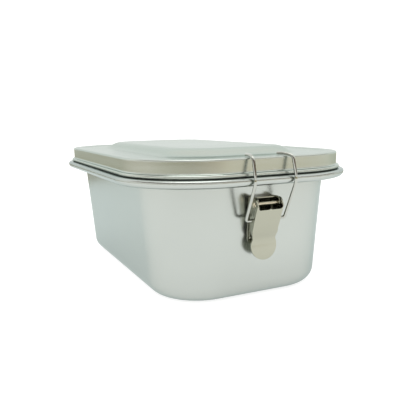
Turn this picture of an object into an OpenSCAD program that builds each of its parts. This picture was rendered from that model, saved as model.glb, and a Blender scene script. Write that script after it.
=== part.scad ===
// Stainless steel lunch box: a deep-drawn tub, a pressed lid with a silicone seal, and an
// over-centre wire clip at each end. Origin at the middle of the underside, +Z up, +X along
// the length. All sizes in millimetres.

/* [Rim] */
// Length over the rolled rim of the tub
rim_l = 202.2; // [190:0.1:220]
// Width over the rolled rim of the tub
rim_w = 131.5; // [120:0.1:140]
// Plan radius of the rim's corners
rim_corner_r = 45.2; // [42:0.1:50]
// Height of the top face of the flange
flange_z = 64.6; // [60:0.1:70]
// Radius of the rolled rim's upper edge
rim_edge_r = 1.5; // [1.2:0.05:1.8]
// Radius of the rolled rim's lower side
rim_roll_r = 2.6; // [2.2:0.05:2.8]

/* [Tub] */
// Thickness of the tub's sheet
tub_sheet = 0.7; // [0.5:0.05:0.8]
// Inset of the wall's outer face from the rim, carried down to the underside
foot_inset = 16.55; // [15:0.05:18]
// Lean of the walls from upright
wall_taper = 4.63; // [3:0.01:5]
// Outer radius between wall and floor
foot_round_r = 8.6; // [6:0.1:10]
// Bend radius between wall and flange, at mid sheet
flange_bend_r = 1.6; // [1:0.1:2.5]
// How far the rolled rim turns back up inside
rim_tuck = 75; // [30:5:85]

/* [Lid] */
// Thickness of the lid's sheet
lid_sheet = 0.7; // [0.5:0.05:0.8]
// Open line between the flange and the lid's bead
lid_gap = 0.35; // [0.3:0.05:0.5]
// Radius of the bead round the lid's lower edge
lid_bead_r = 0.9; // [0.9:0.05:1.05]
// Inset of the lid's bead from the rim
lid_bead_inset = 2.5; // [2.3:0.1:2.8]
// Inset of the top of the skirt from the rim
skirt_inset = 4; // [3.9:0.1:4.4]
// How much further in the skirt is at its foot
skirt_draft = 0.1; // [0:0.05:0.3]
// Radius of the hollow between skirt and bead
skirt_flare_r = 1.1; // [1.1:0.1:1.8]
// Height of the ridge that runs round the lid
ridge_z = 73.9; // [73:0.1:75]
// Width of the ridge
ridge_w = 5.9; // [5:0.1:6.5]
// Outer radius between skirt and ridge
ridge_round_r = 0.85; // [0.8:0.05:1.3]
// Drop from the ridge to the lid's panel
panel_drop = 0.4; // [0.3:0.1:0.8]
// Height of the raised middle of the lid
platform_z = 77.3; // [76.5:0.1:78.5]
// Inset of the raised middle's flat top from the rim
platform_inset = 36; // [35:0.5:38]
// Plan radius of the raised middle's corners
platform_corner_r = 15.5; // [12:0.1:18]
// Width of the slope round the raised middle
platform_slope_w = 13; // [11:0.5:14]

/* [Gasket] */
// Width of the seal's body
gasket_w = 4.0; // [3:0.1:4.5]
// Height of the seal's body
gasket_h = 5.2; // [4:0.1:6]
// How far the seal's lip reaches out under the lid's bead
gasket_lip = 1.5; // [1.3:0.1:1.9]
// Room between the seal and the lid
gasket_clearance = 0.1; // [0.05:0.05:0.15]

/* [Latch] */
// How far each latch sits off the middle of its end
latch_y = -0.6; // [-1:0.1:0]
// Distance of the lever's pivot from the middle of the box
pivot_x = 94.6; // [94.5:0.1:94.9]
// Height of the lever's pivot
pivot_z = 51; // [50.5:0.1:51.2]
// Radius of the lever's pivot pin
pin_r = 0.9; // [0.8:0.05:1]
// Radius of the pin's domed heads
pin_head_r = 1.9; // [1.6:0.1:2.2]
// Running clearance of a pin or wire in its hole
running_gap = 0.05; // [0.02:0.01:0.08]
// Where the wire turns in the lever, along the box
wire_pivot_x = 93; // [92.8:0.1:93.1]
// Where the wire turns in the lever, upwards
wire_pivot_z = 42.7; // [42.4:0.1:43]
// Radius of the clip's wire
wire_r = 0.8; // [0.7:0.05:0.85]
// Half the width of the lever
lever_half_w = 7.5; // [7.3:0.1:7.6]
// Thickness of the lever's sheet
lever_sheet = 0.7; // [0.6:0.05:0.8]
// Radius of the rounded tongue at the lever's lower end
tongue_r = 7.5; // [7.2:0.1:7.8]
// Thickness of the bracket's sheet
bracket_sheet = 0.6; // [0.5:0.05:0.7]

/* [Hidden] */

steel = [0.80, 0.82, 0.80];
lid_steel = [0.74, 0.75, 0.71];
nickel = [0.72, 0.71, 0.63];
bright_wire = [0.82, 0.81, 0.79];
silicone = [0.16, 0.17, 0.17];

ring_fn = 96;
small_fn = 40;
few_steps = 4;
some_steps = 8;
many_steps = 16;
overlap = 0.5;
joint_step = 0.01;

// Half distances between the centres of the rim's corners
corner_x = rim_l / 2 - rim_corner_r;
corner_y = rim_w / 2 - rim_corner_r;

// Tub: mid-sheet line of the wall, as a distance from the corners' centres
wall_mid_u0 = rim_corner_r - foot_inset - tub_sheet / 2 / cos(wall_taper);
foot_mid_r = foot_round_r - tub_sheet / 2;
foot_c_z = foot_round_r;
foot_c_u = wall_mid_u0 + tan(wall_taper) * foot_c_z - foot_mid_r / cos(wall_taper);
flange_mid_z = flange_z - tub_sheet / 2;
bend_c_z = flange_mid_z - flange_bend_r;
bend_c_u = wall_mid_u0 + tan(wall_taper) * (bend_c_z + flange_bend_r * sin(wall_taper))
    + flange_bend_r * cos(wall_taper);

// Tub: the rolled rim, widest at the height where its upper edge meets its lower side
rim_edge_z = flange_z - rim_edge_r;
rim_roll_u = rim_corner_r - rim_roll_r;
rim_tuck_r = 1;
rim_roll_from = -10;
rim_tuck_from = -110;

// Wall's outer face at each end of the box
wall_x0 = rim_l / 2 - foot_inset;
wall_slope = tan(wall_taper);

// Lid: heights and distances at mid sheet
lid_foot_z = flange_z + lid_gap;
lid_bead_z = lid_foot_z + lid_bead_r;
lid_bead_u = rim_corner_r - lid_bead_inset - lid_bead_r;
lid_bead_mid_r = lid_bead_r - lid_sheet / 2;
lid_bead_tuck = 60;
bead_start = 15;
skirt_top_u = rim_corner_r - skirt_inset - lid_sheet / 2;
skirt_foot_u = skirt_top_u - skirt_draft;

// The hollow's centre: its arc leaves the skirt upright and meets the bead's arc smoothly
flare_c_u = skirt_foot_u + skirt_flare_r;
flare_reach = skirt_flare_r + lid_bead_mid_r;
flare_turn = acos((flare_c_u - lid_bead_u) / flare_reach);
flare_c_z = lid_bead_z + flare_reach * sin(flare_turn);
ridge_mid_z = ridge_z - lid_sheet / 2;
ridge_mid_r = ridge_round_r - lid_sheet / 2;
panel_mid_z = ridge_mid_z - panel_drop;
ridge_step_w = 2.4;
ridge_in_u = rim_corner_r - skirt_inset - ridge_w;
panel_join_w = 6;
panel_edge_u = ridge_in_u - panel_join_w;
platform_mid_z = platform_z - lid_sheet / 2;
platform_cx = rim_l / 2 - platform_inset - platform_corner_r;
platform_cy = rim_w / 2 - platform_inset - platform_corner_r;
platform_foot_u = platform_corner_r + platform_slope_w;
platform_rise = platform_mid_z - panel_mid_z;

// Gasket: distances from the corners' centres
gasket_out_u = skirt_foot_u - lid_sheet / 2 - gasket_clearance;
gasket_in_u = gasket_out_u - gasket_w;
gasket_round_r = 0.8;
gasket_round_z = flange_z + gasket_h - gasket_round_r;

// Latch: the bracket
bracket_plate_w = 14;
bracket_foot_z = 30;
bracket_top_z = 53.9;
bracket_ear_out = 6.4;
bracket_ear_r = 2.6;
bracket_ear_shift = 0.6;
bracket_ear_c = [pivot_x - bracket_ear_shift, pivot_z + bracket_ear_shift];
bracket_ear_from = -60;
bracket_ear_foot_z = 44.5;
bracket_edge_top = 2.4;
bracket_edge_foot = 1.5;
bracket_lip_x = 92.2;
bracket_corner_r = 2;

// Latch: the lever, whose face runs from its top edge down to the waist and out to the tip
lever_top = [97.6, 48.2];
lever_shoulder = [98.2, 49.6];
lever_waist = [91.1, 32];
lever_tip = [91.8, 21.8];
lever_neck_half_w = 6.55;
lever_neck_rise = 0.6;
lever_side_foot_z = 36;
lever_top_room = 2;
lever_face_reach = 10;
tongue_turn = 16;
lever_ear_r = 2.8;
lever_ear_from = 20;
lever_ear_foot = [91.8, 35];
lever_ear_end = lever_waist + [0.3, 1.5];
lever_wire_ear_r = 2.2;
lever_wire_ear_turn = [170, 215];

// Latch: the pin
pin_head_h = 0.75;
pin_head_gap = 0.1;
pin_crown_r = 0.6 * pin_head_r;
pin_edge_h = 0.35 * pin_head_h;

// Latch: the wire's two arms, each from the bar out, up past the rim and over the lid's ridge
bar_half = 8.4;
hook_room = 0.35;
hook_z = ridge_z + wire_r + hook_room;
hook_rise = 0.95;
bend_z = hook_z - hook_rise;
kink = [102.9, 62.6];
bend_x = 100;
hook_x = 95.9;
near_reach = [-11.1, -11.4, -11.1, -11, -10.9];
near_end_x = 93;
far_reach = [11.3, 11.5, 11.2, 9, 7];
far_end_x = 92.5;
near_arm = arm(-bar_half + overlap, near_reach, near_end_x);
far_arm = arm(bar_half - overlap, far_reach, far_end_x);
arm_ease = [0, 1.6, 3, 1.9, 1.5, 0];
ease_steps = 6;
wire_sides = 14;
wire_ref = [0.6, -0.5, -0.62];

// ---------- Outlines ----------

function arc(c, r, a0, a1, n) = [for (i = [0:n]) c + r * [cos(a0 + (a1 - a0) * i / n),
                                                         sin(a0 + (a1 - a0) * i / n)]];

function side_normal(a, b) = [a[1] - b[1], b[0] - a[0]] / norm(b - a);

// Point i of path p, moved sideways by s so that both neighbouring stretches move by s
function beside(p, i, s) =
    let (n0 = i > 0 ? side_normal(p[i - 1], p[i]) : side_normal(p[0], p[1]),
         n1 = i < len(p) - 1 ? side_normal(p[i], p[i + 1]) : n0,
         m = n0 + n1)
    p[i] + s * 2 * m / (m * m);

// Outline of a sheet of thickness t bent along path p
function sheet(p, t) = concat(
    [for (i = [0:len(p) - 1]) beside(p, i, t / 2)],
    [for (i = [len(p) - 1:-1:0]) beside(p, i, -t / 2)]
);

// Soft step from height z0 at u0 to height z1 at u1: two equal arcs that meet at mid height
function soft_step(u0, z0, u1, z1, n) =
    let (du = abs(u1 - u0), dz = abs(z1 - z0), r = (du * du + dz * dz) / (4 * dz), a = 2 * atan(dz / du),
         su = sign(u1 - u0), sz = sign(z1 - z0))
    concat(
        [for (i = [0:n]) [u0 + su * r * sin(a * i / n), z0 + sz * r * (1 - cos(a * i / n))]],
        [for (i = [n - 1:-1:0]) [u1 - su * r * sin(a * i / n), z1 - sz * r * (1 - cos(a * i / n))]]
    );

function tub_line() = concat(
    [[0, tub_sheet / 2]],
    arc([foot_c_u, foot_c_z], foot_mid_r, -90, -wall_taper, some_steps),
    arc([bend_c_u, bend_c_z], flange_bend_r, 180 - wall_taper, 90, few_steps),
    arc([rim_corner_r - rim_edge_r, rim_edge_z], rim_edge_r - tub_sheet / 2, 90, 0, some_steps),
    arc([rim_roll_u, rim_edge_z], rim_roll_r - tub_sheet / 2, rim_roll_from, -90, some_steps),
    arc([rim_roll_u, rim_edge_z - rim_roll_r + rim_tuck_r], rim_tuck_r - tub_sheet / 2,
        rim_tuck_from, -90 - rim_tuck, few_steps)
);

function lid_rim_line() = concat(
    [[panel_edge_u, panel_mid_z]],
    soft_step(ridge_in_u - ridge_step_w, panel_mid_z, ridge_in_u + ridge_step_w / 2, ridge_mid_z, few_steps),
    arc([skirt_top_u - ridge_mid_r, ridge_z - ridge_round_r], ridge_mid_r, 90, 0, few_steps),
    arc([flare_c_u, flare_c_z], skirt_flare_r, 180, 180 + flare_turn, few_steps),
    arc([lid_bead_u, lid_bead_z], lid_bead_mid_r, flare_turn - bead_start, -90 - lid_bead_tuck, some_steps)
);

function platform_line() = concat(
    [[0, platform_mid_z]],
    soft_step(platform_corner_r, platform_mid_z, platform_foot_u, panel_mid_z, some_steps)
);

function gasket_outline() = concat(
    [[gasket_in_u, flange_z], [gasket_out_u + gasket_lip, flange_z],
     [gasket_out_u + gasket_lip, lid_foot_z - gasket_clearance / 2],
     [gasket_out_u, lid_foot_z - gasket_clearance / 2]],
    arc([gasket_out_u - gasket_round_r, gasket_round_z], gasket_round_r, 0, 90, few_steps),
    arc([gasket_in_u + gasket_round_r, gasket_round_z], gasket_round_r, 90, 180, few_steps)
);

// ---------- Shared shapes ----------

// Carries an outline round a rounded rectangle; cx and cy are half the distances between its
// corners' centres, and the outline's first coordinate is the distance from them
module round_frame(cx, cy, outline) {
    for (turn = [0, 180]) rotate([0, 0, turn]) {
        translate([cx, cy, 0]) rotate([90, 0, 0]) linear_extrude(2 * cy) polygon(outline);
        translate([-cx, cy, 0]) rotate([90, 0, 90]) linear_extrude(2 * cx) polygon(outline);
        translate([cx, cy, 0]) rotate_extrude(angle = 90, $fn = ring_fn) polygon(outline);
        translate([-cx, cy, 0]) rotate([0, 0, 90]) rotate_extrude(angle = 90, $fn = ring_fn) polygon(outline);
    }
}

module round_plate(cx, cy, r, z0, z1) {
    round_frame(cx, cy, [[0, z0], [r, z0], [r, z1], [0, z1]]);
    translate([-cx, -cy, z0]) cube([2 * cx, 2 * cy, z1 - z0]);
}

// Lays a plate's outline, drawn across the box and up, against the end wall's outer face
module on_wall(t) {
    translate([wall_x0, 0, 0]) rotate([0, wall_taper, 0]) rotate([90, 0, 90]) linear_extrude(t) children();
}

// Stands an outline, drawn along the box and up, between y0 and y1
module across(y0, y1) {
    translate([0, y1, 0]) rotate([90, 0, 0]) linear_extrude(y1 - y0) children();
}

module cross_hole(x, z, r) {
    translate([x, 0, z]) rotate([90, 0, 0])
        cylinder(h = 4 * lever_half_w, r = r, center = true, $fn = small_fn);
}

module right_side() {
    translate([0, latch_y, 0]) children();
}

module left_side() {
    rotate([0, 0, 180]) right_side() children();
}

// ---------- Box ----------

module tub() color(steel) {
    round_frame(corner_x, corner_y, sheet(tub_line(), tub_sheet));
    translate([-corner_x, -corner_y, 0]) cube([2 * corner_x, 2 * corner_y, tub_sheet]);
}

module lid_panel() {
    difference() {
        round_plate(corner_x, corner_y, panel_edge_u,
                    panel_mid_z - lid_sheet / 2, panel_mid_z + lid_sheet / 2);
        round_plate(platform_cx, platform_cy, platform_foot_u,
                    panel_mid_z - lid_sheet, panel_mid_z + lid_sheet);
    }
}

module lid() color(lid_steel) {
    round_frame(corner_x, corner_y, sheet(lid_rim_line(), lid_sheet));
    lid_panel();
    round_frame(platform_cx, platform_cy, sheet(platform_line(), lid_sheet));
    translate([-platform_cx, -platform_cy, platform_z - lid_sheet])
        cube([2 * platform_cx, 2 * platform_cy, lid_sheet]);
}

module gasket() color(silicone) round_frame(corner_x, corner_y, gasket_outline());

// ---------- Latch ----------

function bracket_plate_outline() =
    let (h = bracket_plate_w / 2, r = bracket_corner_r, f = bracket_foot_z, t = bracket_top_z)
    concat(arc([-h + r, f + r], r, 180, 270, few_steps), arc([h - r, f + r], r, 270, 360, few_steps),
           [[h, t], [-h, t]]);

function mid_plate_x(z) = wall_x0 + wall_slope * z + bracket_sheet / 2;

// A low edge up the plate's side, which widens into the ear that carries the pin
function bracket_ear_outline() =
    let (foot_z = bracket_foot_z + bracket_corner_r, top_z = bracket_ear_c[1] + bracket_ear_r)
    concat(
        [[mid_plate_x(foot_z), foot_z],
         [mid_plate_x(foot_z) + bracket_edge_foot, foot_z + bracket_edge_foot],
         [mid_plate_x(bracket_ear_foot_z) + bracket_edge_top, bracket_ear_foot_z]],
        arc(bracket_ear_c, bracket_ear_r, bracket_ear_from, 90, some_steps),
        [[mid_plate_x(top_z), top_z]]
    );

module bracket() color(nickel) difference() {
    union() {
        on_wall(bracket_sheet) polygon(bracket_plate_outline());
        for (side = [0, 1]) mirror([0, side, 0])
            across(bracket_ear_out - bracket_sheet, bracket_ear_out) polygon(bracket_ear_outline());
        across(-bracket_ear_out + bracket_sheet, bracket_ear_out - bracket_sheet) polygon([
            [mid_plate_x(bracket_top_z), bracket_top_z - bracket_sheet],
            [bracket_lip_x, bracket_top_z - bracket_sheet],
            [bracket_lip_x, bracket_top_z],
            [mid_plate_x(bracket_top_z), bracket_top_z]
        ]);
    }
    cross_hole(pivot_x, pivot_z, pin_r);
}

function pin_outline() =
    let (y0 = lever_half_w + pin_head_gap, y1 = y0 + pin_head_h, rim_y = y0 + pin_edge_h)
    [[0, -y1], [pin_crown_r, -y1], [pin_head_r, -rim_y], [pin_head_r, -y0],
     [pin_r, -y0], [pin_r, y0], [pin_head_r, y0], [pin_head_r, rim_y],
     [pin_crown_r, y1], [0, y1]];

module pivot_pin() color(nickel)
    translate([pivot_x, 0, pivot_z]) rotate([90, 0, 0]) rotate_extrude($fn = small_fn) polygon(pin_outline());

// The face's outline seen from the end of the box: straight sides, a slight neck, then the round tongue
function lever_face_outline() =
    let (w = lever_half_w, n = lever_neck_half_w, top = lever_top[1] + lever_top_room,
         neck_z = lever_waist[1] + lever_neck_rise, tongue_z = lever_tip[1] + tongue_r)
    concat([[w, top], [w, lever_side_foot_z], [n, neck_z]],
           arc([0, tongue_z], tongue_r, tongue_turn, -180 - tongue_turn, many_steps),
           [[-n, neck_z], [-w, lever_side_foot_z], [-w, top]]);

function lever_ear_outline() =
    concat([lever_top, lever_shoulder],
           arc([pivot_x, pivot_z], lever_ear_r, lever_ear_from, 180, some_steps),
           arc([wire_pivot_x, wire_pivot_z], lever_wire_ear_r, lever_wire_ear_turn[0], lever_wire_ear_turn[1],
               few_steps),
           [lever_ear_foot, lever_ear_end]);

module lever_face() intersection() {
    across(-tongue_r - overlap, tongue_r + overlap)
        polygon(sheet([lever_top, lever_waist, lever_tip], lever_sheet));
    translate([lever_waist[0] - lever_face_reach, 0, 0]) rotate([90, 0, 90])
        linear_extrude(2 * lever_face_reach) polygon(lever_face_outline());
}

module lever() color(nickel) difference() {
    union() {
        lever_face();
        for (side = [0, 1]) mirror([0, side, 0])
            across(lever_half_w - lever_sheet, lever_half_w) polygon(lever_ear_outline());
    }
    cross_hole(pivot_x, pivot_z, pin_r + running_gap);
    cross_hole(wire_pivot_x, wire_pivot_z, wire_r + running_gap);
}

// Route of an arm whose distances from the middle of the latch are y0 in the bar and then reach[i]
function arm(y0, reach, end_x) = [
    [wire_pivot_x, y0, wire_pivot_z], [wire_pivot_x, reach[0], wire_pivot_z], [kink[0], reach[1], kink[1]],
    [bend_x, reach[2], bend_z], [hook_x, reach[3], hook_z], [end_x, reach[4], hook_z]
];

// Route p with each inner corner i eased over the distance ease[i]
function eased(p, ease, n) = [
    for (i = [0:len(p) - 1])
        if (i == 0 || i == len(p) - 1) p[i]
        else
            let (q0 = p[i] + ease[i] * (p[i - 1] - p[i]) / norm(p[i - 1] - p[i]),
                 q1 = p[i] + ease[i] * (p[i + 1] - p[i]) / norm(p[i + 1] - p[i]))
            for (k = [0:n])
                let (s = k / n)
                (1 - s) * (1 - s) * q0 + 2 * s * (1 - s) * p[i] + s * s * q1
];

function heading(p, i) =
    let (d = p[min(i + 1, len(p) - 1)] - p[max(i - 1, 0)])
    d / norm(d);

// Round wire of radius r along route p
module wire(p, r) {
    rings = [for (i = [0:len(p) - 1])
        let (t = heading(p, i), c = cross(t, wire_ref), a = c / norm(c), b = cross(t, a))
        for (k = [0:wire_sides - 1])
            p[i] + r * (cos(360 * k / wire_sides) * a + sin(360 * k / wire_sides) * b)];
    n = wire_sides;
    last = (len(p) - 1) * n;
    sides = [for (i = [0:len(p) - 2]) for (k = [0:n - 1])
        let (a = i * n + k, b = i * n + (k + 1) % n)
        each [[a, b + n, b], [a, a + n, b + n]]];
    polyhedron(points = rings,
               faces = concat(sides, [[for (k = [0:n - 1]) k]], [[for (k = [n - 1:-1:0]) last + k]]));
}

module bail() color(bright_wire) {
    translate([wire_pivot_x, 0, wire_pivot_z]) rotate([90, 0, 0])
        cylinder(h = 2 * bar_half, r = wire_r, center = true, $fn = small_fn);
    for (route = [near_arm, far_arm]) wire(eased(route, arm_ease, ease_steps), wire_r - joint_step);
}

module right_bracket() right_side() bracket();
module right_pivot_pin() right_side() pivot_pin();
module right_lever() right_side() lever();
module right_bail() right_side() bail();
module left_bracket() left_side() bracket();
module left_pivot_pin() left_side() pivot_pin();
module left_lever() left_side() lever();
module left_bail() left_side() bail();

tub();
lid();
gasket();
right_bracket();
right_pivot_pin();
right_lever();
right_bail();
left_bracket();
left_pivot_pin();
left_lever();
left_bail();
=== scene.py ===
"""Looks of the stainless steel lunch box: smooth pressed shells, folded latch parts and bent wire."""
from math import acos, atan, cos, degrees, hypot, pi, radians, sin, tan

import bmesh
import bpy
from mathutils import Matrix, Vector


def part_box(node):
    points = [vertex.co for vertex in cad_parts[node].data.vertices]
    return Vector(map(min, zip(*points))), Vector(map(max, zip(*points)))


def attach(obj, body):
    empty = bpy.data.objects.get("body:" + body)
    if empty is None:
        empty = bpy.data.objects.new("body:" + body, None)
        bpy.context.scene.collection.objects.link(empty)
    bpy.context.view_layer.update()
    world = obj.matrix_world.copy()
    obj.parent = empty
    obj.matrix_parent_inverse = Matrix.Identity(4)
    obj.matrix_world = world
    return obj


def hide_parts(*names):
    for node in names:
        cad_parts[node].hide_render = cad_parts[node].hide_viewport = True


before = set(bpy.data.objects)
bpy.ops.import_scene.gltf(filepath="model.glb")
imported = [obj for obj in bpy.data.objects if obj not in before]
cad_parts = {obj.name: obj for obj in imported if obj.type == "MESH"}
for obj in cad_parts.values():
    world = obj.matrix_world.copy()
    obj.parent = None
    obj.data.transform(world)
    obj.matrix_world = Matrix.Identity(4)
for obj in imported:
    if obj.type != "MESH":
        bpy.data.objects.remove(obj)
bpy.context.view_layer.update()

scene = bpy.context.scene
MM = 0.001

# ---------- Camera ----------

CAMERA_PLACE = Vector((301.3, -132.9, 91.3)) * MM
CAMERA_YAW = radians(64.16)
CAMERA_PITCH = radians(9.84)
CAMERA_ROLL = radians(-0.98)
CAMERA_LENS = 43.63
CAMERA_SENSOR = 36.0


def make_camera():
    """A camera turned by yaw from +Y, tipped down by pitch and rolled about its own line of sight."""
    ahead = Vector((
        -sin(CAMERA_YAW) * cos(CAMERA_PITCH), cos(CAMERA_YAW) * cos(CAMERA_PITCH), -sin(CAMERA_PITCH),
    ))
    level = Vector((cos(CAMERA_YAW), sin(CAMERA_YAW), 0))
    upright = level.cross(ahead)
    right = level * cos(CAMERA_ROLL) + upright * sin(CAMERA_ROLL)
    up = upright * cos(CAMERA_ROLL) - level * sin(CAMERA_ROLL)
    data = bpy.data.cameras.new("camera")
    data.lens = CAMERA_LENS
    data.sensor_width = CAMERA_SENSOR
    data.clip_start = 0.01
    camera = bpy.data.objects.new("camera", data)
    camera.matrix_world = Matrix((right, up, -ahead)).transposed().to_4x4()
    camera.location = CAMERA_PLACE
    scene.collection.objects.link(camera)
    scene.camera = camera


make_camera()

# ---------- Sizes, in millimetres, from the frame's boxes and the pressed shapes ----------

# u, here and in the outlines, is how far a point stands out from the centre of a rounded corner
tub_hi = Vector(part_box("tub")[1]) / MM
lid_hi = Vector(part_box("lid")[1]) / MM
HALF_L, HALF_W, FLANGE_Z = tub_hi
LID_TOP_Z = lid_hi.z

INNER_U = 0.01
RIM_R = 45.2
CORNER_X = HALF_L - RIM_R
CORNER_Y = HALF_W - RIM_R
RIM_EDGE_R = 1.5
RIM_ROLL_R = 2.6
RIM_TUCK_R = 1.0
SHEET = 0.7
FOOT_INSET = 16.55
TAPER = radians(4.63)
FOOT_R = 8.6
BEND_R = 1.6

LID_GAP = 0.35
LID_BEAD_R = 0.9
LID_BEAD_INSET = 2.5
SKIRT_INSET = 4.0
SKIRT_DRAFT = 0.1
FLARE_R = 1.1
RIDGE_Z = 73.9
RIDGE_W = 5.9
RIDGE_R = 0.85
PANEL_DROP = 0.4
RIDGE_STEP_W = 2.4
PANEL_REACH = 6.0
PLATFORM_INSET = 36.0
PLATFORM_R = 15.5
PLATFORM_SLOPE = 13.0

SEAL_W = 4.0
SEAL_H = 5.2
SEAL_LIP = 1.5
SEAL_CLEARANCE = 0.1
SEAL_LIP_CLEARANCE = 0.05
SEAL_BACK_R = 0.8
SEAL_LIP_R = 0.2

# ---------- Outlines ----------


def arc(cx, cz, r, start, end, steps):
    """Points on an arc, angles in degrees, both ends included."""
    return [
        (cx + r * cos(radians(start + (end - start) * i / steps)),
         cz + r * sin(radians(start + (end - start) * i / steps)))
        for i in range(steps + 1)
    ]


def soft_step(u0, z0, u1, z1, steps):
    """Two equal arcs from level z0 at u0 to level z1 at u1."""
    du, dz = abs(u1 - u0), abs(z1 - z0)
    r = (du * du + dz * dz) / (4 * dz)
    a = 2 * atan(dz / du)
    su = 1 if u1 > u0 else -1
    sz = 1 if z1 > z0 else -1
    first = [
        (u0 + su * r * sin(a * i / steps), z0 + sz * r * (1 - cos(a * i / steps)))
        for i in range(steps + 1)
    ]
    second = [
        (u1 - su * r * sin(a * i / steps), z1 - sz * r * (1 - cos(a * i / steps)))
        for i in range(steps - 1, -1, -1)
    ]
    return first + second


def beside(path, i, s):
    """Point i of a path, moved sideways so that both neighbouring stretches move by s."""
    def normal(a, b):
        d = hypot(b[0] - a[0], b[1] - a[1])
        return Vector(((a[1] - b[1]) / d, (b[0] - a[0]) / d))
    n0 = normal(path[i - 1], path[i]) if i > 0 else normal(path[0], path[1])
    n1 = normal(path[i], path[i + 1]) if i < len(path) - 1 else n0
    m = n0 + n1
    return tuple(Vector(path[i]) + m * (2 * s / m.length_squared))


def supported(path, gap=0.25, shortest=1.5):
    """Adds a point just inside each end of every long straight stretch, so that shading stays flat there."""
    out = [path[0]]
    for a, b in zip(path, path[1:]):
        a, b = Vector(a), Vector(b)
        d = (b - a).length
        if d > shortest:
            out.append(tuple(a.lerp(b, gap / d)))
            out.append(tuple(b.lerp(a, gap / d)))
        out.append(tuple(b))
    return out


def sheet_faces(path, t):
    """Both faces of a bent sheet, as one path that runs out along one face and back along the other,
    with a rounded edge between them."""
    n = len(path)
    outer = [beside(path, i, -t / 2) for i in range(n)]
    inner = [beside(path, i, t / 2) for i in range(n)]
    end = Vector(path[-1])
    along = (end - Vector(path[-2])).normalized()
    side = Vector(outer[-1]) - end
    edge = [tuple(end + side * cos(a) + along * (t / 2) * sin(a)) for a in (pi / 4, pi / 2, 3 * pi / 4)]
    return supported(outer) + edge + supported(inner)[::-1]


def sheet_outline(path, t):
    """A closed outline round a bent sheet, with square ends."""
    n = len(path)
    return [beside(path, i, t / 2) for i in range(n)] + [beside(path, i, -t / 2) for i in range(n - 1, -1, -1)]


def eased(points, ease, steps):
    """A path with each inner corner replaced by a curve that starts and ends ease[i] away from it."""
    out = [points[0]]
    for i in range(1, len(points) - 1):
        p, before, after = points[i], points[i - 1], points[i + 1]
        q0 = p + (before - p).normalized() * ease[i]
        q1 = p + (after - p).normalized() * ease[i]
        for k in range(steps + 1):
            s = k / steps
            out.append(q0 * (1 - s) ** 2 + p * 2 * s * (1 - s) + q1 * s * s)
    out.append(points[-1])
    return out


# ---------- Mesh makers ----------


def linked(name, bm, material=None):
    """Makes an object of a bmesh and puts it in the scene."""
    mesh = bpy.data.meshes.new(name)
    bm.to_mesh(mesh)
    bm.free()
    if material:
        mesh.materials.append(material)
    made = bpy.data.objects.new(name, mesh)
    scene.collection.objects.link(made)
    return made


def new_object(name, bm, material, body, stands_for, crisp=None):
    """Turns a bmesh in millimetres into a smooth piece in metres that rides on a body. Edges sharper than
    crisp degrees stay sharp."""
    bmesh.ops.scale(bm, vec=(MM, MM, MM), verts=bm.verts)
    bmesh.ops.recalc_face_normals(bm, faces=bm.faces)
    piece = linked(name, bm, material)
    for face in piece.data.polygons:
        face.use_smooth = True
    if crisp:
        piece.data.set_sharp_from_angle(angle=radians(crisp))
    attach(piece, body)
    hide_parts(stands_for)


ARC_STEPS = 28
CORNERS = ((1, 1), (-1, 1), (-1, -1), (1, -1))
# shares of a straight side where its points stand: close to both ends, so that shading stays flat between
LONG_STEPS = (0, 0.003, 0.1, 0.25, 0.5, 0.75, 0.9, 0.997)
SHORT_STEPS = (0, 0.008, 0.2, 0.5, 0.8, 0.992)
SAME_PLACE = 0.0005


def frame_loop(cx, cy, u):
    """Points round a rounded rectangle whose corners' centres are at (+-cx, +-cy), with radius u."""
    centres = [Vector((sx * cx, sy * cy)) for sx, sy in CORNERS]
    points = []
    for k, centre in enumerate(centres):
        for i in range(ARC_STEPS):
            a = pi / 2 * (k + i / ARC_STEPS)
            points.append(centre + u * Vector((cos(a), sin(a))))
        a = pi / 2 * (k + 1)
        out = u * Vector((cos(a), sin(a)))
        here, there = centre + out, centres[(k + 1) % 4] + out
        for share in (LONG_STEPS if k % 2 == 0 else SHORT_STEPS):
            points.append(here.lerp(there, share))
    return points


def loft(loops, closed=False):
    """Quads through loops of (cx, cy, u, z), joined end to end or else with the open ends filled."""
    bm = bmesh.new()
    rows = [[bm.verts.new((p.x, p.y, z)) for p in frame_loop(cx, cy, u)] for cx, cy, u, z in loops]
    n = len(rows[0])
    pairs = list(zip(rows, rows[1:]))
    if closed:
        pairs.append((rows[-1], rows[0]))
    for a, b in pairs:
        for i in range(n):
            j = (i + 1) % n
            bm.faces.new((a[i], a[j], b[j], b[i]))
    bmesh.ops.remove_doubles(bm, verts=bm.verts, dist=SAME_PLACE)
    bmesh.ops.dissolve_degenerate(bm, edges=bm.edges, dist=SAME_PLACE)
    rims = [e for e in bm.edges if e.is_boundary]
    if rims:
        bmesh.ops.holes_fill(bm, edges=rims, sides=0)
    return bm


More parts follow.
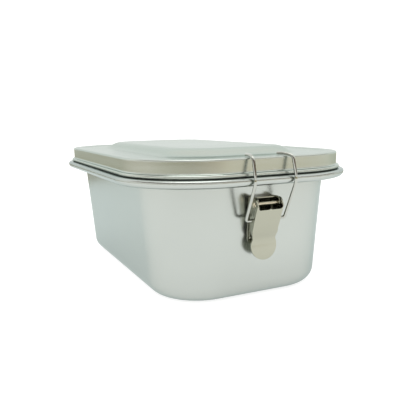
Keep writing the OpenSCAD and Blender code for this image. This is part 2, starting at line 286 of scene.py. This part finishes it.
def tub_path():
    """The tub's sheet from the middle of its floor up the wall, over the flange and round the rolled rim."""
    wall_u0 = RIM_R - FOOT_INSET - SHEET / 2 / cos(TAPER)
    foot_r = FOOT_R - SHEET / 2
    foot_u = wall_u0 + tan(TAPER) * FOOT_R - foot_r / cos(TAPER)
    bend_z = FLANGE_Z - SHEET / 2 - BEND_R
    bend_u = wall_u0 + tan(TAPER) * (bend_z + BEND_R * sin(TAPER)) + BEND_R * cos(TAPER)
    lean = degrees(TAPER)
    edge_z = FLANGE_Z - RIM_EDGE_R
    return (
        [(INNER_U, SHEET / 2)]
        + arc(foot_u, FOOT_R, foot_r, -90, -lean, 16)
        + arc(bend_u, bend_z, BEND_R, 180 - lean, 90, 10)
        + arc(RIM_R - RIM_EDGE_R, edge_z, RIM_EDGE_R - SHEET / 2, 90, 0, 14)
        + arc(RIM_R - RIM_ROLL_R, edge_z, RIM_ROLL_R - SHEET / 2, -6, -90, 14)
        + arc(RIM_R - RIM_ROLL_R, edge_z - RIM_ROLL_R + RIM_TUCK_R, RIM_TUCK_R - SHEET / 2, -100, -165, 8)
    )


def make_tub(material):
    loops = [(CORNER_X, CORNER_Y, u, z) for u, z in sheet_faces(tub_path(), SHEET)]
    new_object("tub_shell", loft(loops), material, "box", "tub")


def lid_loops():
    """Loops over the lid's raised middle, as its upper and lower faces, and round its rim as one path that
    runs out along the lower face and back along the upper one."""
    panel_z = RIDGE_Z - SHEET / 2 - PANEL_DROP
    top_z = LID_TOP_Z - SHEET / 2
    ridge_z = RIDGE_Z - SHEET / 2
    ridge_in = RIM_R - SKIRT_INSET - RIDGE_W
    ridge_r = RIDGE_R - SHEET / 2
    skirt_top = RIM_R - SKIRT_INSET - SHEET / 2
    bead_u = RIM_R - LID_BEAD_INSET - LID_BEAD_R
    bead_z = FLANGE_Z + LID_GAP + LID_BEAD_R
    bead_r = LID_BEAD_R - SHEET / 2
    flare_u = skirt_top - SKIRT_DRAFT + FLARE_R
    turn = degrees(acos((flare_u - bead_u) / (FLARE_R + bead_r)))
    flare_z = bead_z + (FLARE_R + bead_r) * sin(radians(turn))
    platform_x = HALF_L - PLATFORM_INSET - PLATFORM_R
    platform_y = HALF_W - PLATFORM_INSET - PLATFORM_R
    middle = [(INNER_U, top_z)] + soft_step(PLATFORM_R, top_z, PLATFORM_R + PLATFORM_SLOPE, panel_z, 16)
    rim = (
        [(ridge_in - PANEL_REACH, panel_z)]
        + soft_step(ridge_in - RIDGE_STEP_W, panel_z, ridge_in + RIDGE_STEP_W / 2, ridge_z, 8)
        + arc(skirt_top - ridge_r, RIDGE_Z - RIDGE_R, ridge_r, 90, 0, 8)
        + arc(flare_u, flare_z, FLARE_R, 180, 180 + turn, 10)
        + arc(bead_u, bead_z, bead_r, turn - 8, -150, 18)
    )
    count = len(middle)
    onward = middle + [(middle[-1][0] + PANEL_REACH, panel_z)]
    upper, lower = ([beside(onward, i, side) for i in range(count)] for side in (SHEET / 2, -SHEET / 2))
    upper_loops = [(platform_x, platform_y, u, z) for u, z in supported(upper)]
    lower_loops = [(platform_x, platform_y, u, z) for u, z in supported(lower)]
    rim_loops = [(CORNER_X, CORNER_Y, u, z) for u, z in sheet_faces(rim, SHEET)]
    return upper_loops, lower_loops, rim_loops


def make_lid(material):
    upper, lower, rim = lid_loops()
    new_object("lid_shell", loft(lower + rim + upper[::-1]), material, "box", "lid")


def make_gasket(material):
    """A ring with a round back that fills the lid's rim, and a thin lip out under the lid's bead."""
    out_u = RIM_R - SKIRT_INSET - SHEET - SKIRT_DRAFT - SEAL_CLEARANCE
    in_u = out_u - SEAL_W
    top = FLANGE_Z + SEAL_H
    lip_top = FLANGE_Z + LID_GAP - SEAL_LIP_CLEARANCE
    lip_u = out_u + SEAL_LIP
    back_r, lip_r = SEAL_BACK_R, SEAL_LIP_R
    ring = (
        [(in_u, FLANGE_Z), (lip_u - lip_r, FLANGE_Z)]
        + arc(lip_u - lip_r, FLANGE_Z + lip_r, lip_r, -90, 0, 3)[1:]
        + arc(lip_u - lip_r, lip_top - lip_r, lip_r, 0, 90, 3)
        + [(out_u, lip_top)]
        + arc(out_u - back_r, top - back_r, back_r, 0, 90, 6)
        + arc(in_u + back_r, top - back_r, back_r, 90, 180, 6)
    )
    loops = [(CORNER_X, CORNER_Y, u, z) for u, z in ring]
    new_object("seal_ring", loft(loops, closed=True), material, "box", "gasket", crisp=50)


# ---------- Latch ----------

LATCH_Y = -0.6
PIVOT = Vector((94.6, 0, 51.0))
WIRE_PIVOT = Vector((93.0, 0, 42.7))
WIRE_R = 0.8
PIN_R = 0.9
HOLE_CLEARANCE = 0.05
LEVER_HALF_W = 7.5
LEVER_SHEET = 0.7
WALL_X0 = HALF_L - FOOT_INSET
# cutters reach well past the pieces that they cut
CUT_X0, CUT_X1 = 80, 105
HOLE_HALF = 20
FACE_TOP_Z = 60


def prism(outline, y0, y1):
    """An outline of (x, z) points stood between two values of y."""
    bm = bmesh.new()
    near = [bm.verts.new((x, y0, z)) for x, z in outline]
    far = [bm.verts.new((x, y1, z)) for x, z in outline]
    bm.faces.new(near)
    bm.faces.new(far[::-1])
    n = len(outline)
    for i in range(n):
        j = (i + 1) % n
        bm.faces.new((near[j], near[i], far[i], far[j]))
    bmesh.ops.recalc_face_normals(bm, faces=bm.faces)
    return bm


def end_prism(outline, x0, x1):
    """An outline of (y, z) points stood between two values of x."""
    bm = prism(outline, x0, x1)
    for v in bm.verts:
        v.co = Vector((v.co.y, v.co.x, v.co.z))
    bmesh.ops.recalc_face_normals(bm, faces=bm.faces)
    return bm


def lathe(outline, centre, steps=40):
    """Turns (radius, y) points round an axis along y through centre."""
    bm = bmesh.new()
    rows = []
    for r, y in outline:
        if r < 1e-6:
            rows.append([bm.verts.new((centre.x, y, centre.z))])
        else:
            rows.append([
                bm.verts.new((centre.x + r * cos(2 * pi * i / steps), y, centre.z + r * sin(2 * pi * i / steps)))
                for i in range(steps)
            ])
    for a, b in zip(rows, rows[1:]):
        for i in range(steps):
            j = (i + 1) % steps
            if len(a) == 1:
                bm.faces.new((a[0], b[i], b[j]))
            elif len(b) == 1:
                bm.faces.new((a[i], a[j], b[0]))
            else:
                bm.faces.new((a[i], a[j], b[j], b[i]))
    bmesh.ops.recalc_face_normals(bm, faces=bm.faces)
    return bm


def cylinder_y(centre, r, half, steps=32):
    return lathe([(0, -half), (r, -half), (r, half), (0, half)], centre, steps)


def combine(base, others):
    """Applies boolean steps (operation, bmesh) to a base bmesh and returns the result."""
    target = linked("tmp", base)
    helpers = []
    for operation, bm in others:
        helper = linked("tmp", bm)
        helpers.append(helper)
        step = target.modifiers.new("step", "BOOLEAN")
        step.operation = operation
        step.solver = "EXACT"
        step.object = helper
    bpy.context.view_layer.update()
    done = target.evaluated_get(bpy.context.evaluated_depsgraph_get())
    bm = bmesh.new()
    bm.from_mesh(done.to_mesh())
    for obj in helpers + [target]:
        mesh = obj.data
        bpy.data.objects.remove(obj)
        bpy.data.meshes.remove(mesh)
    bmesh.ops.remove_doubles(bm, verts=bm.verts, dist=0.001)
    return bm


def soften(bm, width, steps=2, least=28):
    """Rounds every edge that turns by more than least degrees."""
    bmesh.ops.dissolve_limit(bm, angle_limit=radians(0.5), verts=bm.verts, edges=bm.edges)
    edges = [e for e in bm.edges if e.is_manifold and e.calc_face_angle(0) > radians(least)]
    bmesh.ops.bevel(bm, geom=edges, offset=width, segments=steps, profile=0.5, affect="EDGES", clamp_overlap=True)
    return bm


def wall_x(z):
    """Where the tub's end wall stands at a height, on its outer face."""
    return WALL_X0 + tan(TAPER) * z


LEVER_TOP = Vector((97.6, 48.2))
LEVER_SHOULDER = Vector((98.2, 49.6))
LEVER_WAIST = Vector((91.1, 32.0))
LEVER_TIP = Vector((91.8, 21.8))
LEVER_WAIST_HALF_W = 6.5
LEVER_EAR_R = 2.8
WIRE_EAR_R = 2.2
LEVER_FOLD_R = 0.8
TONGUE_R = 7.4
TONGUE_EASE = 2.8


def face_cutter():
    """The lever's face seen from the end: straight sides that draw in to the waist, then the round tongue."""
    tongue_z = LEVER_TIP.y + TONGUE_R
    side = [(LEVER_HALF_W, 44), (LEVER_HALF_W - 0.1, 36), (LEVER_WAIST_HALF_W, LEVER_WAIST.y + 0.6)]
    outline = side + arc(0, tongue_z, TONGUE_R, 16, -196, 44) + [(-y, z) for y, z in side[::-1]]
    return end_prism(outline, CUT_X0, CUT_X1)


def mouth_cutter():
    """The opening between the ears above the face's top edge, with round lower corners and a small peak."""
    w, top, r = LEVER_HALF_W - LEVER_SHEET, LEVER_TOP.y, 1.2
    outline = (
        arc(-w + r, top + r, r, 180, 270, 6) + [(-0.9, top), (0, top + 0.45), (0.9, top)]
        + arc(w - r, top + r, r, 270, 360, 6) + [(w, FACE_TOP_Z), (-w, FACE_TOP_Z)]
    )
    return end_prism(outline, CUT_X0, CUT_X1)


def lever_bmesh():
    """One folded sheet: the face and its ears are a block hollowed from behind, and the tongue a bent strip."""
    a, b = PIVOT, WIRE_PIVOT
    half = LEVER_SHEET / 2
    up = (LEVER_TOP - LEVER_WAIST).normalized()
    out = Vector((up.y, -up.x))
    start = LEVER_WAIST.lerp(LEVER_TOP, 0.2)
    outline = (
        [start + out * half, LEVER_SHOULDER + out * half]
        + [Vector(p) for p in arc(a.x, a.z, LEVER_EAR_R, 20, 180, 16) + arc(b.x, b.z, WIRE_EAR_R, 170, 215, 5)]
        + [start - out * (half + 0.6) + up * 0.3, start - out * half]
    )
    block = prism(outline, -LEVER_HALF_W, LEVER_HALF_W)
    front = [tuple(round(c, 3) for c in p) for p in outline[:2]]
    folds = [
        e for e in block.edges
        if all((round(v.co.x, 3), round(v.co.z, 3)) in front for v in e.verts)
        and abs(e.verts[0].co.y - e.verts[1].co.y) < 1e-4
    ]
    bmesh.ops.bevel(block, geom=folds, offset=LEVER_FOLD_R, segments=6, profile=0.5, affect="EDGES")
    above = LEVER_TOP - out * half + up * 14
    below = start - out * half - up * 4
    inside = prism([below, above, above - out * 25, below - out * 25],
                   -LEVER_HALF_W + LEVER_SHEET, LEVER_HALF_W - LEVER_SHEET)
    past_tip = LEVER_TIP - Vector((-0.2, 1.5))
    bend = eased([start.lerp(LEVER_TOP, 0.1), LEVER_WAIST, past_tip], [0, TONGUE_EASE, 0], 12)
    tongue = combine(prism(sheet_outline(bend, LEVER_SHEET), -9, 9), [("INTERSECT", face_cutter())])
    bm = combine(block, [
        ("DIFFERENCE", inside),
        ("UNION", tongue),
        ("DIFFERENCE", mouth_cutter()),
        ("DIFFERENCE", cylinder_y(a, PIN_R + HOLE_CLEARANCE, HOLE_HALF)),
        ("DIFFERENCE", cylinder_y(b, WIRE_R + HOLE_CLEARANCE, HOLE_HALF)),
    ])
    return soften(bm, 0.12)


BRACKET_SHEET = 0.6
BRACKET_FOOT_Z = 30.0
BRACKET_TOP_Z = 53.9
BRACKET_HALF_W = 7
BRACKET_CORNER_R = 2
BRACKET_LIP_X = 92.2
BRACKET_EAR_Y = 6.4
BRACKET_EAR_FOOT_Z = 44.5
BRACKET_EAR_R = 2.6
BRACKET_EAR_SHIFT = 0.6


def bracket_bmesh():
    """A plate on the wall with round lower corners, a lip at its top and an ear at each side for the pin."""
    half, w, r = BRACKET_SHEET / 2, BRACKET_HALF_W, BRACKET_CORNER_R
    foot, top = BRACKET_FOOT_Z, BRACKET_TOP_Z
    top_x = wall_x(top) + half
    plate = sheet_outline([(wall_x(foot) + half, foot), (top_x, top)], BRACKET_SHEET)
    face = (
        arc(-w + r, foot + r, r, 180, 270, 6) + arc(w - r, foot + r, r, 270, 360, 6)
        + [(w, FACE_TOP_Z), (-w, FACE_TOP_Z)]
    )
    base = combine(prism(plate, -w, w), [("INTERSECT", end_prism(face, CUT_X0, CUT_X1))])
    ear_x, ear_z = PIVOT.x - BRACKET_EAR_SHIFT, PIVOT.z + BRACKET_EAR_SHIFT
    low_x = wall_x(foot + r)
    ear = (
        [(low_x + half, foot + r), (low_x + 1.8, foot + 3.5)]
        + [(wall_x(BRACKET_EAR_FOOT_Z) + 2.7, BRACKET_EAR_FOOT_Z)]
        + arc(ear_x, ear_z, BRACKET_EAR_R, -60, 90, 14)
        + [(top_x, ear_z + BRACKET_EAR_R)]
    )
    lip_z = top - BRACKET_SHEET
    lip = [(top_x, lip_z), (BRACKET_LIP_X, lip_z), (BRACKET_LIP_X, top), (top_x, top)]
    out_y, in_y, lip_y = BRACKET_EAR_Y, BRACKET_EAR_Y - BRACKET_SHEET, BRACKET_EAR_Y - half
    bm = combine(base, [
        ("UNION", prism(ear, in_y, out_y)),
        ("UNION", prism(ear, -out_y, -in_y)),
        ("UNION", prism(lip, -lip_y, lip_y)),
        ("DIFFERENCE", cylinder_y(PIVOT, PIN_R, HOLE_HALF)),
    ])
    return soften(bm, 0.1)


HEAD_R = 1.9
HEAD_H = 0.75
HEAD_PLAY = 0.1
DOME_STEPS = 8


def pin_bmesh():
    """A pin with the same domed head at both ends."""
    y0 = LEVER_HALF_W + HEAD_PLAY
    top = y0 + HEAD_H
    dome_r = (HEAD_R ** 2 + HEAD_H ** 2) / (2 * HEAD_H)
    rises = [acos(1 - HEAD_H / dome_r) * i / DOME_STEPS for i in range(DOME_STEPS + 1)]
    dome = [(dome_r * sin(a), top - dome_r * (1 - cos(a))) for a in rises]
    right = dome + [(HEAD_R * 0.97, y0), (PIN_R, y0)]
    left = [(r, -y) for r, y in right[::-1]]
    return lathe(right + left, PIVOT)


CUT_EDGE = 0.18


def tube(path, r, sides=20):
    """Round wire along a path, with slightly rounded cut ends."""
    bm = bmesh.new()
    n = len(path)
    heads = [(path[min(i + 1, n - 1)] - path[max(i - 1, 0)]).normalized() for i in range(n)]
    across = heads[0].orthogonal().normalized()
    stations = []
    for p, t in zip(path, heads):
        across = (across - t * across.dot(t)).normalized()
        stations.append((p, t, across, r))
    edge = CUT_EDGE * r
    (p0, t0, a0, _), (p1, t1, a1, _) = stations[0], stations[-1]
    rounding = ((0, edge), (edge * 0.3, edge * 0.3), (edge, 0))
    stations[:1] = [(p0 + t0 * back, t0, a0, r - less) for back, less in rounding]
    stations[-1:] = [(p1 - t1 * back, t1, a1, r - less) for back, less in rounding[::-1]]
    rows = []
    for p, t, a, radius in stations:
        b = t.cross(a)
        rows.append([
            bm.verts.new(p + radius * (cos(2 * pi * k / sides) * a + sin(2 * pi * k / sides) * b))
            for k in range(sides)
        ])
    for a, b in zip(rows, rows[1:]):
        for k in range(sides):
            j = (k + 1) % sides
            bm.faces.new((a[k], a[j], b[j], b[k]))
    bm.faces.new(rows[0])
    bm.faces.new(rows[-1][::-1])
    return bm


HOOK_Z = RIDGE_Z + WIRE_R + 0.35
SHOULDER_Z = HOOK_Z - 0.95
BAIL_EASE = [0, 1.5, 1.9, 3, 1.6]
# the smooth tube is this much thinner than the CAD's wire, so that it stays inside the CAD's box
WIRE_SHRINK = 0.01


def arm(reach, end_x):
    """An arm's corners, from the bar in the lever out to the kink, up to the shoulder and over to the hook's end,
    with each one's distance from the middle in reach."""
    corners = [(WIRE_PIVOT.x, WIRE_PIVOT.z), (102.9, 62.6), (100, SHOULDER_Z), (95.9, HOOK_Z), (end_x, HOOK_Z)]
    return [Vector((x, y, z)) for (x, z), y in zip(corners, reach)]


def bail_bmesh():
    """One wire: from a hook down to the lever, through its two holes and up to the other hook."""
    near = arm((-11.1, -11.4, -11.1, -11, -10.9), 93)
    far = arm((11.3, 11.5, 11.2, 9, 7), 92.5)
    return tube(eased(near[::-1] + far, BAIL_EASE + BAIL_EASE[::-1], 10), WIRE_R - WIRE_SHRINK)


# ---------- Materials ----------


def shaded(name):
    """A new node material, with its nodes, its links and its Principled shader."""
    material = bpy.data.materials.new(name)
    material.use_nodes = True
    nodes, links = material.node_tree.nodes, material.node_tree.links
    return material, nodes, links, nodes["Principled BSDF"]


def noise(nodes, links, vector, scale, detail):
    node = nodes.new("ShaderNodeTexNoise")
    node.inputs["Scale"].default_value = scale
    node.inputs["Detail"].default_value = detail
    links.new(vector, node.inputs["Vector"])
    return node.outputs["Fac"]


def mottled(nodes, links, shader, factor, low, high):
    """Base colour that wanders between low and high with a factor."""
    mix = nodes.new("ShaderNodeMix")
    mix.data_type = "RGBA"
    mix.inputs["A"].default_value = (*low, 1)
    mix.inputs["B"].default_value = (*high, 1)
    links.new(factor, mix.inputs["Factor"])
    links.new(mix.outputs["Result"], shader.inputs["Base Color"])


def relief(nodes, links, shader, height, strength, distance):
    bump = nodes.new("ShaderNodeBump")
    bump.inputs["Strength"].default_value = strength
    bump.inputs["Distance"].default_value = distance
    links.new(height, bump.inputs["Height"])
    links.new(bump.outputs["Normal"], shader.inputs["Normal"])


def steel(name, colour, roughness, edge=(1, 1, 1), grain=(1, 1, 1), wear=0.05):
    """Satin metal: a fine grain in relief, and cloudy colour and roughness. edge is the tint at grazing
    angles, grain stretches the clouds along an axis, and wear is how much darker they get."""
    material, nodes, links, shader = shaded(name)
    shader.inputs["Metallic"].default_value = 1.0
    shader.inputs["Specular Tint"].default_value = (*edge, 1)
    place = nodes.new("ShaderNodeTexCoord")
    stretch = nodes.new("ShaderNodeMapping")
    stretch.inputs["Scale"].default_value = grain
    links.new(place.outputs["Object"], stretch.inputs["Vector"])
    fine = noise(nodes, links, stretch.outputs["Vector"], 1400, 4)
    cloud = noise(nodes, links, stretch.outputs["Vector"], 26, 5)
    mottled(nodes, links, shader, cloud, [c * (1 - wear) for c in colour], colour)
    rough = nodes.new("ShaderNodeMapRange")
    rough.inputs["From Min"].default_value = 0.3
    rough.inputs["From Max"].default_value = 0.7
    rough.inputs["To Min"].default_value = roughness * 0.9
    rough.inputs["To Max"].default_value = roughness * 1.08
    links.new(cloud, rough.inputs["Value"])
    links.new(rough.outputs["Result"], shader.inputs["Roughness"])
    relief(nodes, links, shader, fine, 0.01, 0.0002)
    return material


def rubber(name, colour):
    """Dull silicone with a fine, barely mottled skin."""
    material, nodes, links, shader = shaded(name)
    place = nodes.new("ShaderNodeTexCoord")
    skin = noise(nodes, links, place.outputs["Object"], 900, 2)
    mottled(nodes, links, shader, skin, [c * 0.8 for c in colour], colour)
    shader.inputs["Roughness"].default_value = 0.55
    relief(nodes, links, shader, skin, 0.1, 0.0001)
    return material


tub_metal = steel("tub_satin", (0.455, 0.485, 0.455), 0.24, edge=(0.62, 0.68, 0.68), wear=0.1)
lid_metal = steel("lid_satin", (0.495, 0.53, 0.485), 0.24, edge=(0.66, 0.72, 0.70), wear=0.12,
                  grain=(0.6, 0.6, 14))
nickel = steel("latch_nickel", (0.38, 0.385, 0.31), 0.16, wear=0.1)
# painted shade: the bracket's nickel is a darker copy of the lever's, standing in for the shade in the gaps
# between the bracket's ears and the lever
bracket_painted_shade_metal = steel("nickel_with_painted_shade", (0.30, 0.30, 0.24), 0.2, wear=0.1)
pin_metal = steel("pin_nickel", (0.60, 0.55, 0.42), 0.14)
wire_metal = steel("wire_bright", (0.42, 0.435, 0.395), 0.08)
# painted shade: the seal is a real part, but its near-black colour stands in for the shade in the gap between the
# lid's bead and the tub's rim
seal = rubber("silicone_black_painted_gap_shade", (0.02, 0.023, 0.023))

# ---------- Pieces ----------

make_tub(tub_metal)
make_lid(lid_metal)
make_gasket(seal)


def placed(bm, side):
    """Moves a latch piece onto the latch's line, and for the left end turns it half round the upright axis."""
    bmesh.ops.translate(bm, vec=(0, LATCH_Y, 0), verts=bm.verts)
    if side == "left":
        bmesh.ops.rotate(bm, cent=(0, 0, 0), matrix=Matrix.Rotation(pi, 3, "Z"), verts=bm.verts)
    return bm


for side in ("right", "left"):
    new_object(f"{side}_bracket_plate", placed(bracket_bmesh(), side), bracket_painted_shade_metal, "box",
               f"{side}_bracket", crisp=40)
    new_object(f"{side}_pin", placed(pin_bmesh(), side), pin_metal, "box",
               f"{side}_pivot_pin", crisp=40)
    new_object(f"{side}_lever_plate", placed(lever_bmesh(), side), nickel, f"{side}_lever",
               f"{side}_lever", crisp=40)
    new_object(f"{side}_wire_clip", placed(bail_bmesh(), side), wire_metal, f"{side}_bail",
               f"{side}_bail")

# ---------- Stage ----------


def make_floor():
    """A plain white sheet; a little glow of its own keeps the shadow under the box as faint as in a light tent."""
    bm = bmesh.new()
    bmesh.ops.create_circle(bm, cap_ends=True, segments=96, radius=6)
    material, _, _, shader = shaded("floor_white")
    shader.inputs["Base Color"].default_value = (0.42, 0.42, 0.42, 1)
    shader.inputs["Roughness"].default_value = 0.9
    shader.inputs["Emission Color"].default_value = (1, 1, 1, 1)
    shader.inputs["Emission Strength"].default_value = 0.74
    floor = linked("floor", bm, material)
    floor.location.z = -0.0002


def ramp_stops(ramp, stops):
    """Sets a colour ramp from (position, colour) pairs in rising order."""
    elements = ramp.color_ramp.elements
    elements[0].position, elements[0].color = stops[0][0], (*stops[0][1], 1)
    elements[1].position, elements[1].color = stops[-1][0], (*stops[-1][1], 1)
    for position, colour in stops[1:-1]:
        elements.new(position).color = (*colour, 1)


def make_world():
    """A white tent, a little brighter halfway up than at the horizon and overhead."""
    world = bpy.data.worlds.new("world")
    scene.world = world
    world.use_nodes = True
    nodes, links = world.node_tree.nodes, world.node_tree.links
    place = nodes.new("ShaderNodeTexCoord")
    split = nodes.new("ShaderNodeSeparateXYZ")
    ramp = nodes.new("ShaderNodeValToRGB")
    links.new(place.outputs["Generated"], split.inputs["Vector"])
    links.new(split.outputs["Z"], ramp.inputs["Fac"])
    links.new(ramp.outputs["Color"], nodes["Background"].inputs["Color"])
    ramp_stops(ramp, [
        (0.0, (1.2, 1.2, 1.2)),
        (0.2, (1.27, 1.25, 1.24)),
        (0.5, (1.34, 1.34, 1.34)),
        (0.9, (1.2, 1.2, 1.18)),
    ])


def room_surface(name, rings, first, last, steps, glow):
    """A glowing strip between two rings of (radius, height), from one bearing to another in degrees, that
    only shows in reflections: it casts no light or shadow and the camera looks past it."""
    bm = bmesh.new()
    rows = []
    for radius, z in rings:
        turns = [radians(first + (last - first) * i / steps) for i in range(steps + 1)]
        rows.append([bm.verts.new((radius * cos(a), radius * sin(a), z)) for a in turns])
    for i in range(steps):
        bm.faces.new((rows[0][i], rows[0][i + 1], rows[1][i + 1], rows[1][i]))
    bmesh.ops.remove_doubles(bm, verts=bm.verts, dist=1e-5)
    material, nodes, links, shader = shaded(name)
    shader.inputs["Base Color"].default_value = (0, 0, 0, 1)
    shader.inputs["Specular IOR Level"].default_value = 0
    shader.inputs["Emission Strength"].default_value = 1
    place = nodes.new("ShaderNodeTexCoord")
    bearing = nodes.new("ShaderNodeTexGradient")
    bearing.gradient_type = "RADIAL"
    ramp = nodes.new("ShaderNodeValToRGB")
    links.new(place.outputs["Object"], bearing.inputs["Vector"])
    links.new(bearing.outputs["Fac"], ramp.inputs["Fac"])
    links.new(ramp.outputs["Color"], shader.inputs["Emission Color"])
    ramp_stops(ramp, glow)
    strip = linked(name, bm, material)
    strip.visible_camera = False
    strip.visible_diffuse = False
    strip.visible_shadow = False
    strip.visible_transmission = False


def make_room():
    """What the metal mirrors beyond the white sheet: the warm floor all round, a half disc of lamp overhead for
    the highlights, and the dark side of the room in two parts, which the rims and wires pick up as brown lines.
    A ramp's position is the bearing from +X, with -180 degrees at 0 and +180 degrees at 1."""
    room_surface("room_floor", ((0.40, 0.0), (1.6, 0.0)), -180, 180, 96, [
        (0.0, (0.78, 0.71, 0.58)),
        (0.25, (0.76, 0.70, 0.55)),
        (0.35, (0.43, 0.39, 0.21)),
        (0.42, (0.37, 0.31, 0.15)),
        (0.50, (0.58, 0.46, 0.26)),
        (0.55, (0.90, 0.78, 0.54)),
        (0.60, (0.86, 0.79, 0.61)),
        (0.72, (1.0, 0.96, 0.82)),
        (1.0, (0.72, 0.65, 0.53)),
    ])
    room_surface("room_lamp", ((0.02, 1.3), (0.6, 1.3)), -114, 66, 24, [
        (0.0, (3.6, 3.6, 3.6)),
        (1.0, (3.6, 3.6, 3.6)),
    ])
    room_surface("room_dark", ((1.25, 0.46), (1.25, 1.1)), -125, 30, 36, [
        (0.15, (1.0, 0.96, 0.9)),
        (0.24, (0.16, 0.10, 0.08)),
        (0.42, (0.08, 0.05, 0.04)),
        (0.50, (0.30, 0.23, 0.18)),
        (0.58, (0.8, 0.74, 0.66)),
    ])
    room_surface("room_door", ((1.2, 0.22), (1.2, 0.52)), 8, 86, 16, [
        (0.52, (0.60, 0.52, 0.42)),
        (0.55, (0.24, 0.16, 0.12)),
        (0.62, (0.20, 0.14, 0.10)),
        (0.72, (0.24, 0.18, 0.13)),
        (0.74, (0.8, 0.74, 0.66)),
    ])


def sun(strength, angle, tilt):
    """One soft lamp from afar, kept out of reflections."""
    data = bpy.data.lights.new("sun", "SUN")
    data.energy = strength
    data.angle = radians(angle)
    light = bpy.data.objects.new("sun", data)
    light.rotation_euler = [radians(a) for a in tilt]
    light.visible_glossy = False
    scene.collection.objects.link(light)


make_floor()
make_world()
make_room()
sun(1.0, 60, (25, 12, 0))

scene.view_settings.view_transform = "Standard"
